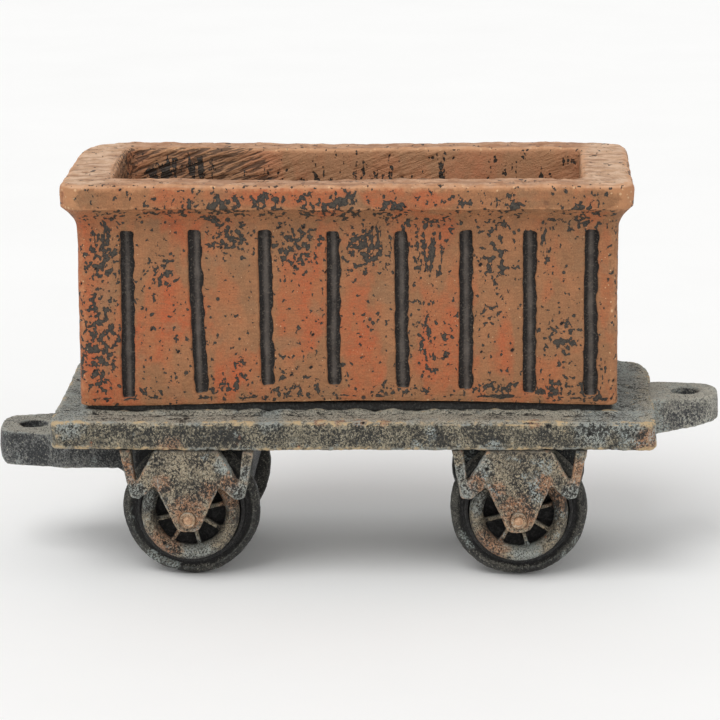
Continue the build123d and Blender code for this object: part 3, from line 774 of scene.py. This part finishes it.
def loft_mesh(name, loft):
    """Faces between the tub's rings, half as many columns deep inside, and how far in a slot."""
    # Every ring starts at a corner, so that the four sides fill a grid.
    rings = [np.roll(ring, CORNER_STEPS // 2 - 1, axis=0) for ring in loft.rings]
    slots = [np.roll(slot, CORNER_STEPS // 2 - 1) for slot in loft.slots]
    points, faces, slot_mask, index_rings, start = [], [], [], [], 0
    for number, (ring, slot) in enumerate(zip(rings, slots)):
        step = 2 if number == 0 or number >= loft.fine_end else 1
        points.append(ring[::step])
        slot_mask.append(slot[::step])
        index_rings.append(start + np.arange(len(ring[::step])))
        start += len(ring[::step])
    for low, high in zip(index_rings, index_rings[1:]):
        faces += faces_between(low, high)
    wall_faces = len(faces)
    nx, ny = [steps // 2 for steps in loft.steps]
    ends = ((index_rings[0], points[0], False), (index_rings[-1], points[-1], True))
    for ring, border, upward in ends:
        index = np.full((nx + 1, ny + 1), -1)
        index[:, 0] = ring[: nx + 1]
        index[-1, :] = ring[nx : nx + ny + 1]
        index[::-1, -1] = ring[nx + ny : 2 * nx + ny + 1]
        index[0, ::-1] = np.concatenate([ring[2 * nx + ny :], ring[:1]])
        inner = fill_ring(border, nx, ny)[1:-1, 1:-1].reshape(-1, 3)
        index[1:-1, 1:-1] = start + np.arange(len(inner)).reshape(nx - 1, ny - 1)
        points.append(inner)
        slot_mask.append(np.zeros(len(inner)))
        start += len(inner)
        corners = [index[:-1, :-1], index[1:, :-1], index[1:, 1:], index[:-1, 1:]]
        quads = np.stack(corners, axis=-1).reshape(-1, 4)
        faces += (quads if upward else quads[:, ::-1]).tolist()
    mesh = bpy.data.meshes.new(name)
    mesh.from_pydata((np.concatenate(points) * MM).tolist(), [], faces)
    mesh.update()
    lay_out_for_baking(mesh, loft, rings, index_rings, wall_faces)
    return mesh, np.concatenate(slot_mask)


def listed_places(points, loft, places, where):
    """Strength at each point of the listed places on one wall, fading round their edges."""
    x, z = points[:, 0] - loft.middle[0], points[:, 2] - loft.base
    total = np.zeros(len(points))
    for u, v, half_u, half_v, strength in places:
        away = np.hypot((x - u) / half_u, (z - v) / half_v)
        total = np.maximum(total, strength * np.clip(1.45 - away, 0, 1))
    return total * where


def round_far_corner(points, middle, half, side, radius, share=1.0):
    """Draws in the far corner of a rounded slab, on the side -1 or 1, to about the given radius."""
    dx = side * (points[:, 0] - middle[0]) - (half[0] - radius)
    dy = points[:, 1] - middle[1] - (half[1] - radius)
    away = np.hypot(dx, dy)
    turn = np.clip(np.abs([dx, dy]) / np.maximum(away, 1e-6), 0, 1)
    furthest = radius / np.maximum((turn[0] ** 4 + turn[1] ** 4) ** 0.25, 1e-6)
    kept = radius * 0.3
    eased = kept + (away - kept) * (radius - kept) / (furthest - kept)
    hit = (dx > 0) & (dy > 0) & (away > kept)
    factor = np.where(hit, (eased / np.maximum(away, 1e-6) - 1) * share, 0)
    points[:, 0] += side * dx * factor
    points[:, 1] += dy * factor


class TubSurface:
    """The tub's points and which part of it each one is on."""

    def __init__(self, mesh, points, slot, loft):
        self.mesh, self.points, self.slot, self.loft = mesh, points, slot, loft
        self.normals = normals_of(mesh)
        self.x, self.y, self.z = points[:, 0] - loft.middle[0], points[:, 1], points[:, 2] - loft.base
        z, tall = self.z, loft.tall
        self.inside = (np.abs(self.x) < loft.mouth[0] + 0.6) & (np.abs(self.y) < loft.mouth[1] + 0.6)
        self.inside &= z > 3
        self.ledge = (self.normals[:, 2] > 0.75) & (z > tall - 1.5)
        self.outside = ~self.inside & ~self.ledge & (z > 0.5)
        self.near_side = (self.y < -loft.mouth[1] - 1.0) & ~self.ledge
        self.far_inside = self.inside & (self.y > loft.mouth[1] - 3) & (z > tall - 14)

    def carved_grain(self):
        """Carved lines along the ledge and slanting on the inner walls, and where the latter are."""
        x, points, ledge = self.x, self.points, self.ledge
        spun = points.copy()
        spun[:, 1] += 0.08 * x
        end_part = np.clip((np.abs(x) - self.loft.mouth[0]) / 2.0, 0, 1) * ledge
        along = layered_noise(spun, (9.0, 1.5, 4.0), 31, layers=2)
        across = layered_noise(points, (7.0, 1.3, 5.0), 32, layers=2)
        grain = np.where(ledge, along * (1 - end_part) + across * end_part, 0)
        slant = points @ np.array([[0.94, 0, -0.34], [0, 1, 0], [0.34, 0, 0.94]])
        carved = layered_noise(slant, (8.0, 5.0, 1.6), 33, layers=2)
        left_part = np.clip((-12 - x) / 20, 0, 1) * (self.y > 0)
        where = self.inside * np.clip(0.4 + 0.8 * smooth_noise(points, 22.0, 34) + left_part, 0, 1.2)
        return grain + carved * where, carved, where

    def carve(self):
        """Moves the mesh: lumps, grain, pinholes, and a foot that isn't straight."""
        points, x, z, loft = self.points, self.x, self.z, self.loft
        grain, carved, where = self.carved_grain()
        height = 0.10 * layered_noise(points, 6.0, 35, layers=2)
        height += 0.05 * layered_noise(points, 1.7, 36, layers=2)
        height += np.where(self.ledge, 0.17, 0.0) * grain + 0.36 * carved * where
        height += 0.07 * layered_noise(points, (1.5, 1.5, 7.0), 37, layers=2) * self.outside
        rim_zone = np.clip((z - (loft.tall - RIM_HEIGHT - 1)) / 2, 0, 1) * ~self.inside
        height += 0.14 * layered_noise(points, 3.2, 38, layers=2) * rim_zone
        height += self.slot * 0.16 * layered_noise(points, (2.0, 2.0, 3.0), 39)
        face = self.outside & (self.slot < 0.05) | (self.inside & (z > loft.tall - 16))
        dent_big, in_big = pits(points, 3, 46, 0.55, 0.6, face)
        dent_small, in_small = pits(points, 4, 90, 0.36, 0.4, face | self.ledge)
        height -= dent_big + dent_small
        height -= 0.9 * np.clip(-0.52 - layered_noise(points, 4.0, 40, layers=2), 0, 0.5) * rim_zone
        moved = points + self.normals * height[:, None] + cast_warp(points)
        lift = 0.8 * np.cos(np.pi * np.clip(x / loft.wall[0], -1, 1) / 2) ** 2
        sag = 0.55 * np.clip(-x / loft.wall[0], 0, 1)
        moved[:, 2] += (lift - sag) * np.clip(1 - z / 9, 0, 1) * (self.y < 0)
        move_to(self.mesh, moved)
        write_masks(self.mesh, pit=np.maximum(in_big, in_small), grain=grain, carved=where)

    def mask_wear(self):
        """Where the paint is worn, streaked, dotted or more orange, from the lists and by noise."""
        points, ledge, near_side, loft = self.points, self.ledge, self.near_side, self.loft
        clusters = np.clip(0.62 * layered_noise(points, (11.0, 11.0, 13.0), 41) + 0.28, 0, 1)
        placed = listed_places(points, loft, WORN_PLACES, near_side)
        worn = np.where(near_side, 0.08 + 0.22 * clusters + 0.95 * placed, 0.2 + 0.85 * clusters)
        worn = np.where(ledge, 0.3 * clusters, worn)
        worn = np.where(self.inside, clusters * 0.75, worn)
        inner = listed_places(points, loft, INNER_WORN_PLACES, self.far_inside)
        worn = np.where(self.far_inside, 0.1 + 0.2 * clusters + inner, worn)
        elsewhere = np.clip(smooth_noise(points, 18.0, 42) * 1.6, 0, 1) * ~near_side
        streaked = listed_places(points, loft, STREAKED_PLACES, near_side)
        streaked = np.maximum(streaked, np.where(self.far_inside, 0.8, elsewhere))
        write_masks(
            self.mesh,
            worn=np.clip(worn, 0, 1.1),
            streaked=np.clip(streaked, 0, 1),
            orange=listed_places(points, loft, ORANGE_PLACES, near_side) - 0.25 * near_side,
            dotted=np.clip(0.45 + 0.5 * smooth_noise(points, 13.0, 43), 0, 1) * ~ledge,
        )

    def mask_shape(self):
        """The slots and their rubbed middles, top faces, ends, foot, inside, edges and hollows."""
        x, y, z, loft = self.x, self.y, self.z, self.loft
        middle = np.zeros(len(x))
        for places, coordinate, side in (
            (SIDE_SLOTS, x, np.abs(y) > loft.wall[1] - 3.2),
            (END_SLOTS, y, np.abs(x) > loft.wall[0] - 3.2),
        ):
            for place in places:
                middle = np.maximum(middle, np.clip(1 - np.abs(coordinate - place) / 1.5, 0, 1) * side)
        beside_slot = self.slot[:, None]
        for _ in range(4):
            beside_slot = np.maximum(beside_slot, neighbour_mean(self.mesh, beside_slot))
        upper = z > loft.tall - 3
        write_masks(
            self.mesh,
            slot=self.slot,
            rubbed=middle,
            inner=np.clip((z - loft.tall + 18) / 6, 0, 1) * self.inside,
            top=np.clip(self.normals[:, 2] * 1.2, 0, 1) * upper,
            pale_end=np.clip((np.abs(x) - loft.mouth[0] + 2) / 5, 0, 1) * upper,
            foot=0.75 * np.clip(1 - np.abs(z - 1.6) / 2.6, 0, 1) * ~self.inside,
            relief=relief_of(self.mesh) * (1 - np.clip(beside_slot[:, 0] * 40, 0, 0.85)),
        )


def make_tub(material):
    loft = TubLoft()
    mesh, slot = loft_mesh("tub_casting", loft)
    # The far corners of the rim are cast much rounder than the near ones.
    points = points_of(mesh)
    flare = np.clip((points[:, 2] - loft.base - loft.cove_base) / COVE_HEIGHT, 0, 1)
    for side, radius in ((-1, 12.5), (1, 9.5)):
        round_far_corner(points, loft.middle, loft.rim, side, radius, flare)
    move_to(mesh, points)
    surface = TubSurface(mesh, points, slot, loft)
    surface.carve()
    surface.mask_wear()
    surface.mask_shape()
    new_piece(mesh, material, ["tub_body"], "chassis")


# ---------------------------------------------------------------- the undercarriage
def near_spots(points, origin, spots, side=1):
    """1 at the listed spots (x, z and radius, from an origin), fading to 0 beyond their radius."""
    total = np.zeros(len(points))
    for u, v, radius in spots:
        away = np.hypot(points[:, 0] - origin[0] - side * u, points[:, 2] - origin[2] - v)
        total = np.maximum(total, np.clip(1.5 - away / radius, 0, 1))
    return total


def add_masks(mesh, **masks):
    """The masks that the iron paint reads: those not given are left at nothing."""
    nothing = dict.fromkeys(("shade", "pit", "warm", "cold"), np.zeros(len(mesh.vertices)))
    top = np.clip(normals_of(mesh)[:, 2] * 1.6 - 0.6, 0, 1)
    write_masks(mesh, top=top, **(nothing | masks))


def make_casting(node, name, material, seed, voxel, lumps, grain, holes=0, masks=None, rounds=2):
    """A casting that follows its CAD node, with its own seeded roughness and pinholes.

    masks is a function from the points to further paint masks by name.
    """
    mesh = dense_copy(node, name, voxel)
    points = roughen(mesh, seed, lumps, grain, rounds=rounds)
    given = masks(points) if masks else {}
    if holes:
        dent, given["pit"] = pits(points, seed, holes, 0.42, 0.4)
        move_to(mesh, points_of(mesh) - normals_of(mesh) * dent[:, None])
    add_masks(mesh, **given)
    return new_piece(mesh, material, [node], "chassis")


def crack_depth(points, path, width, depth):
    """Depth at each point of a wavering crack that follows a few points on the top face."""
    best = np.full(len(points), 1e9)
    waver = np.stack([layered_noise(points, 4.0, 71), layered_noise(points, 4.0, 75)], axis=1)
    flat = points[:, :2] + 0.9 * waver
    for a, b in zip(np.array(path[:-1], float), np.array(path[1:], float)):
        share = np.clip(((flat - a) @ (b - a)) / ((b - a) @ (b - a)), 0, 1)
        best = np.minimum(best, np.linalg.norm(flat - a - share[:, None] * (b - a), axis=1))
    return depth * np.exp(-((best / width) ** 2))


# Places daubed orange, and frosted bluish: x and z from the deck's middle and top, or from the
# axle, and radius.
DECK_WARM = (
    (71.0, -5.0, 4.5), (-8, 0, 1.6), (-3, 0, 1.6), (2, 0, 1.8), (8, 0, 1.6), (44, 0, 2), (-44, -7, 4),
)
DECK_COLD = ((-69, 0, 5.0), (-20, 0, 3.0), (58, -2, 5.0), (66, 0, 5.0))
PLATE_WARM = ((-14.5, 12.2, 4.0), (10.5, 9.6, 3.0), (0, 2.0, 5.5), (-6.0, 9.0, 3.0), (5.6, 7.6, 3.0))
PLATE_COLD = ((-13.0, 6.6, 3.6), (13.6, 6.6, 3.6), (9.3, 14.0, 2.8), (14.8, 12.0, 2.6))
RING_WARM = ((-6.9, -7.9, 5.5), (9.8, 4.6, 4.5))
RING_COLD = ((2.0, -10.5, 4.5), (-10.4, 3.5, 4.0))


def make_deck(material):
    """The deck slab: a lumpy top with a few cracks, heaped up a little against the seat."""
    mesh = dense_copy("deck", "deck_casting", 0.5)
    points = roughen(mesh, 51, 0.16, 0.12)
    high = box_mm("deck")[1]
    on_top = (points[:, 2] > high[2] - 0.6).astype(float)
    sink = 0.3 * np.abs(layered_noise(points, (9.0, 2.0, 5.0), 57)) * on_top
    for path in (
        ((64.5, 7.0), (69.5, 2.0), (high[0], 0.8)),
        ((66.0, -16.0), (69.0, -10.0), (high[0], -7.0)),
        ((-68.0, 2.0), (-70.5, 9.0), (-high[0], 12.5)),
    ):
        sink += crack_depth(points, path, 0.38, 0.34) * on_top
    dent, pit = pits(points, 51, 70, 0.42, 0.4)
    moved = points_of(mesh) - normals_of(mesh) * (dent + sink)[:, None]
    low_seat, high_seat = box_mm("tub_seat")
    off = np.abs(points - (low_seat + high_seat) / 2) - (high_seat - low_seat) / 2
    from_seat = np.maximum(off[:, 0], off[:, 1])
    heap = 0.75 + 0.45 * layered_noise(points, 5.0, 58)
    moved[:, 2] += np.clip(1 - from_seat / 2.4, 0, 1) * np.clip(heap, 0.1, 1.4) * on_top
    # Its far corner at the high tongue is worn round.
    round_far_corner(moved, (0, 0), high, 1, 13.0)
    reshape(mesh, moved)
    add_masks(
        mesh,
        pit=pit,
        shade=0.45 * np.clip(1.0 - from_seat / 1.3, 0, 1) * on_top,
        warm=near_spots(points, (0, 0, high[2]), DECK_WARM) * (points[:, 1] < 2 - high[1]),
        cold=near_spots(points, (0, 0, high[2]), DECK_COLD),
    )
    new_piece(mesh, material, ["deck"], "chassis")


def blend_root(mesh, side):
    """Carries a tongue's root into the deck, so that the two read as one casting."""
    points = points_of(mesh)
    near = np.clip((box_mm("deck")[1][0] + 2.0 - side * points[:, 0]) / 2.0, 0, 1)
    points[:, 0] -= side * 0.9 * near
    move_to(mesh, points)


def make_flange(corner, body, iron, seed):
    """The flanged disc of one wheel: dished behind a rounded lip, and a little out of round."""
    node = f"wheel_disc_{corner}"
    low, high = box_mm(node)
    axis = (low + high) / 2
    mesh = dense_copy(node, f"wheel_flange_{corner}", 0.42)
    points = roughen(mesh, seed, 0.06, 0.07, inward=True, warp=0)
    spoke = points - axis
    spoke[:, 1] = 0
    radius = np.linalg.norm(spoke, axis=1)
    outer = np.abs(points[:, 1]) > np.abs([low[1], high[1]]).min() + 2.0
    moved = points_of(mesh)
    dish = np.clip((radius - 13.4) / 0.5, 0, 1) * np.clip((15.3 - radius) / 1.1, 0, 1)
    moved[:, 1] -= np.sign(axis[1]) * outer * (1.0 * dish + 1.1 * (radius < 13.6) * (radius > 11.8))
    turn = spoke / np.maximum(radius, 0.1)[:, None]
    wobble = 0.16 + 0.3 * np.clip(smooth_noise(turn, 0.55, seed + 3), -0.5, 1)
    moved -= turn * (np.clip(wobble, 0, 0.5) * np.clip((radius - 13.5) / 2, 0, 1))[:, None]
    reshape(mesh, moved)
    add_masks(mesh, shade=np.clip((14.9 - radius) / 0.8, 0, 0.8) * outer)
    new_piece(mesh, iron, [node], body)
    return axis


def make_ring(corner, axis, body, paint, seed):
    """The spoked ring on the face of one wheel, round in section."""
    node = f"wheel_spider_{corner}"
    mesh = dense_copy(node, f"wheel_ring_{corner}", 0.3)
    points = roughen(mesh, seed + 50, 0.05, 0.06, inward=True, warp=0, rounds=1)
    radius = np.hypot(points[:, 0] - axis[0], points[:, 2] - axis[2])
    depth = np.abs(points[:, 1]) - np.abs(points[:, 1]).min()
    dent, pit = pits(points, seed, 5, 0.5, 0.45, depth > 4)
    moved = points_of(mesh) - normals_of(mesh) * dent[:, None]
    crown = np.clip(np.abs(radius - 10.4) / 1.8, 0, 1.1) ** 2 * np.clip(depth - 2.2, 0, 3) / 3
    moved[:, 1] -= np.sign(axis[1]) * 1.3 * crown * (radius > 7.5)
    reshape(mesh, moved)
    add_masks(
        mesh,
        shade=np.clip(1.25 - depth / 2.2, 0, 1),
        pit=pit,
        warm=near_spots(points, axis, RING_WARM),
        cold=near_spots(points, axis, RING_COLD),
    )
    new_piece(mesh, paint, [node], body)


# The iron's finishes by name: paint, brushing and edges as display colours, then cover, rust,
# frost and seed, and strength and threshold of the edge lines where they are not the usual ones.
IRONS = {
    "deck_iron": ((52, 51, 47), (168, 158, 134), (214, 186, 142), 0.60, 0.25, 0.4, 100, 0.85, 0.22),
    "plate_iron": ((52, 48, 43), (184, 170, 144), (206, 156, 116), 0.72, 0.4, 0.45, 120, 0.85, 0.21),
    "tongue_iron": ((76, 78, 80), (186, 183, 171), (204, 200, 184), 0.80, 0.0, 0.6, 140),
    # The low tongue's paint is a darker copy of the high one's: painted shade.
    "low_tongue_shaded_iron": ((58, 60, 62), (140, 141, 138), (170, 168, 158), 0.62, 0.0, 0.5, 150),
    "beam_iron": ((42, 42, 42), (78, 80, 82), (110, 110, 108), 0.3, 0.0, 0.2, 160, 0.4),
    "seat_black": ((26, 25, 24), (96, 97, 94), (120, 118, 110), 0.28, 0.0, 0.5, 180, 0.4),
    "wheel_iron": ((47, 46, 44), (99, 97, 90), (106, 103, 94), 0.38, 0.05, 0.3, 200, 0.22),
    "wheel_ring_paint": ((50, 46, 40), (172, 158, 134), (192, 172, 140), 0.64, 0.4, 0.45, 220),
    "boss_paint": ((150, 114, 86), (202, 168, 134), (216, 182, 146), 0.85, 0.5, 0.0, 240),
}


def make_corner(corner, index, iron):
    """One pedestal with its boss and its wheel."""
    low, high = box_mm(f"bush_{corner}")
    deck_bottom = box_mm("deck")[0][2]
    axle, side = (low + high) / 2, 1 if corner.endswith("left") else -1
    make_casting(
        f"pedestal_{corner}", f"horn_plate_{corner}", iron["plate_iron"], 60 + 3 * index, 0.27, 0.12,
        0.10, holes=7, rounds=6,
        masks=lambda points: {
            "shade": 0.75 * np.clip((points[:, 2] - deck_bottom + 1.8) / 1.8, 0, 1),
            "warm": near_spots(points, axle, PLATE_WARM, side),
            "cold": near_spots(points, axle, PLATE_COLD, side),
        },
    )
    make_casting(
        f"bush_{corner}", f"axle_boss_{corner}", iron["boss_paint"], 80 + index, 0.2, 0.03, 0.03
    )
    body, seed = "wheelset_" + corner.split("_")[1], 90 + 4 * index
    axis = make_flange(corner, body, iron["wheel_iron"], seed)
    make_ring(corner, axis, body, iron["wheel_ring_paint"], seed)


def make_undercarriage():
    iron = {name: dry_brushed_iron(name, *finish) for name, finish in IRONS.items()}
    make_deck(iron["deck_iron"])
    make_casting(
        "tub_seat", "seat_plinth", iron["seat_black"], 52, 0.62, 0.12, 0.08,
        masks=lambda points: {"shade": np.full(len(points), 0.75)},
    )
    for end, paint, seed, side in (("high", "tongue_iron", 53, 1), ("low", "low_tongue_shaded_iron", 54, -1)):
        tongue = make_casting(
            f"coupling_tongue_{end}", f"tongue_{end}", iron[paint], seed, 0.4, 0.14, 0.10,
            holes=10,
        )
        blend_root(tongue.data, side)
    for seed, end in ((55, "left"), (56, "right")):
        make_casting(f"bolster_{end}", f"beam_{end}", iron["beam_iron"], seed, 0.6, 0.10, 0.08)
    for index, corner in enumerate(("front_left", "front_right", "rear_left", "rear_right")):
        make_corner(corner, index, iron)


def keep_turned_parts():
    """Axles and screws keep their CAD shape, in darkened steel."""
    steel = dark_metal("axle_steel", (112, 108, 102), 260, painted_from=30.6)
    screw = dark_metal("screw_steel", (96, 92, 88), 270)
    for node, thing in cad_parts.items():
        if node.startswith("axle_") or node.endswith("screws"):
            thing.data.materials.clear()
            thing.data.materials.append(steel if node.startswith("axle_") else screw)


# ---------------------------------------------------------------- camera, floor and light
def make_camera():
    azimuth, elevation, roll = map(math.radians, (CAMERA_AZIMUTH, CAMERA_ELEVATION, CAMERA_ROLL))
    flat = math.cos(elevation)
    back = Vector((math.sin(azimuth) * flat, -math.cos(azimuth) * flat, math.sin(elevation)))
    data = bpy.data.cameras.new("camera")
    data.lens, data.sensor_width = CAMERA_LENS, 36.0
    data.clip_start, data.clip_end = 0.05, 20.0
    camera = bpy.data.objects.new("camera", data)
    bpy.context.scene.collection.objects.link(camera)
    level = (-back).to_track_quat("-Z", "Y").to_matrix()
    turned_level = (level @ Matrix.Rotation(roll, 3, "Z")).to_4x4()
    place = Vector(CAMERA_TARGET) * MM + back * CAMERA_DISTANCE * MM
    camera.matrix_world = Matrix.Translation(place) @ turned_level
    bpy.context.scene.camera = camera


def soft_sun(name, source, spread, strength):
    """A wide, even studio light from one direction; spread is its angular size in degrees."""
    data = bpy.data.lights.new(name, "SUN")
    data.energy, data.angle = strength, math.radians(spread)
    light = bpy.data.objects.new(name, data)
    bpy.context.scene.collection.objects.link(light)
    light.rotation_mode = "QUATERNION"
    light.rotation_quaternion = Vector(source).to_track_quat("Z", "Y")


def make_studio():
    mesh = bpy.data.meshes.new("floor")
    corners = [(FLOOR_REACH * x, FLOOR_REACH * y, 0) for x, y in ((-1, -1), (1, -1), (1, 1), (-1, 1))]
    mesh.from_pydata(corners, [], [(0, 1, 2, 3)])
    mesh.materials.append(floor_paint())
    floor = bpy.data.objects.new("floor", mesh)
    bpy.context.scene.collection.objects.link(floor)
    world = bpy.data.worlds.new("studio")
    bpy.context.scene.world = world
    world.use_nodes = True
    sky = world.node_tree.nodes["Background"]
    sky.inputs[0].default_value = (1.0, 1.0, 1.0, 1.0)
    sky.inputs[1].default_value = 0.66
    soft_sun("key", (-0.35, -0.6, 1.0), 36, 1.3)
    soft_sun("front", (0.5, -1.0, 0.35), 60, 0.35)
    bpy.context.scene.view_settings.view_transform = "Standard"


make_camera()
make_studio()
make_tub(terracotta_paint())
make_undercarriage()
keep_turned_parts()
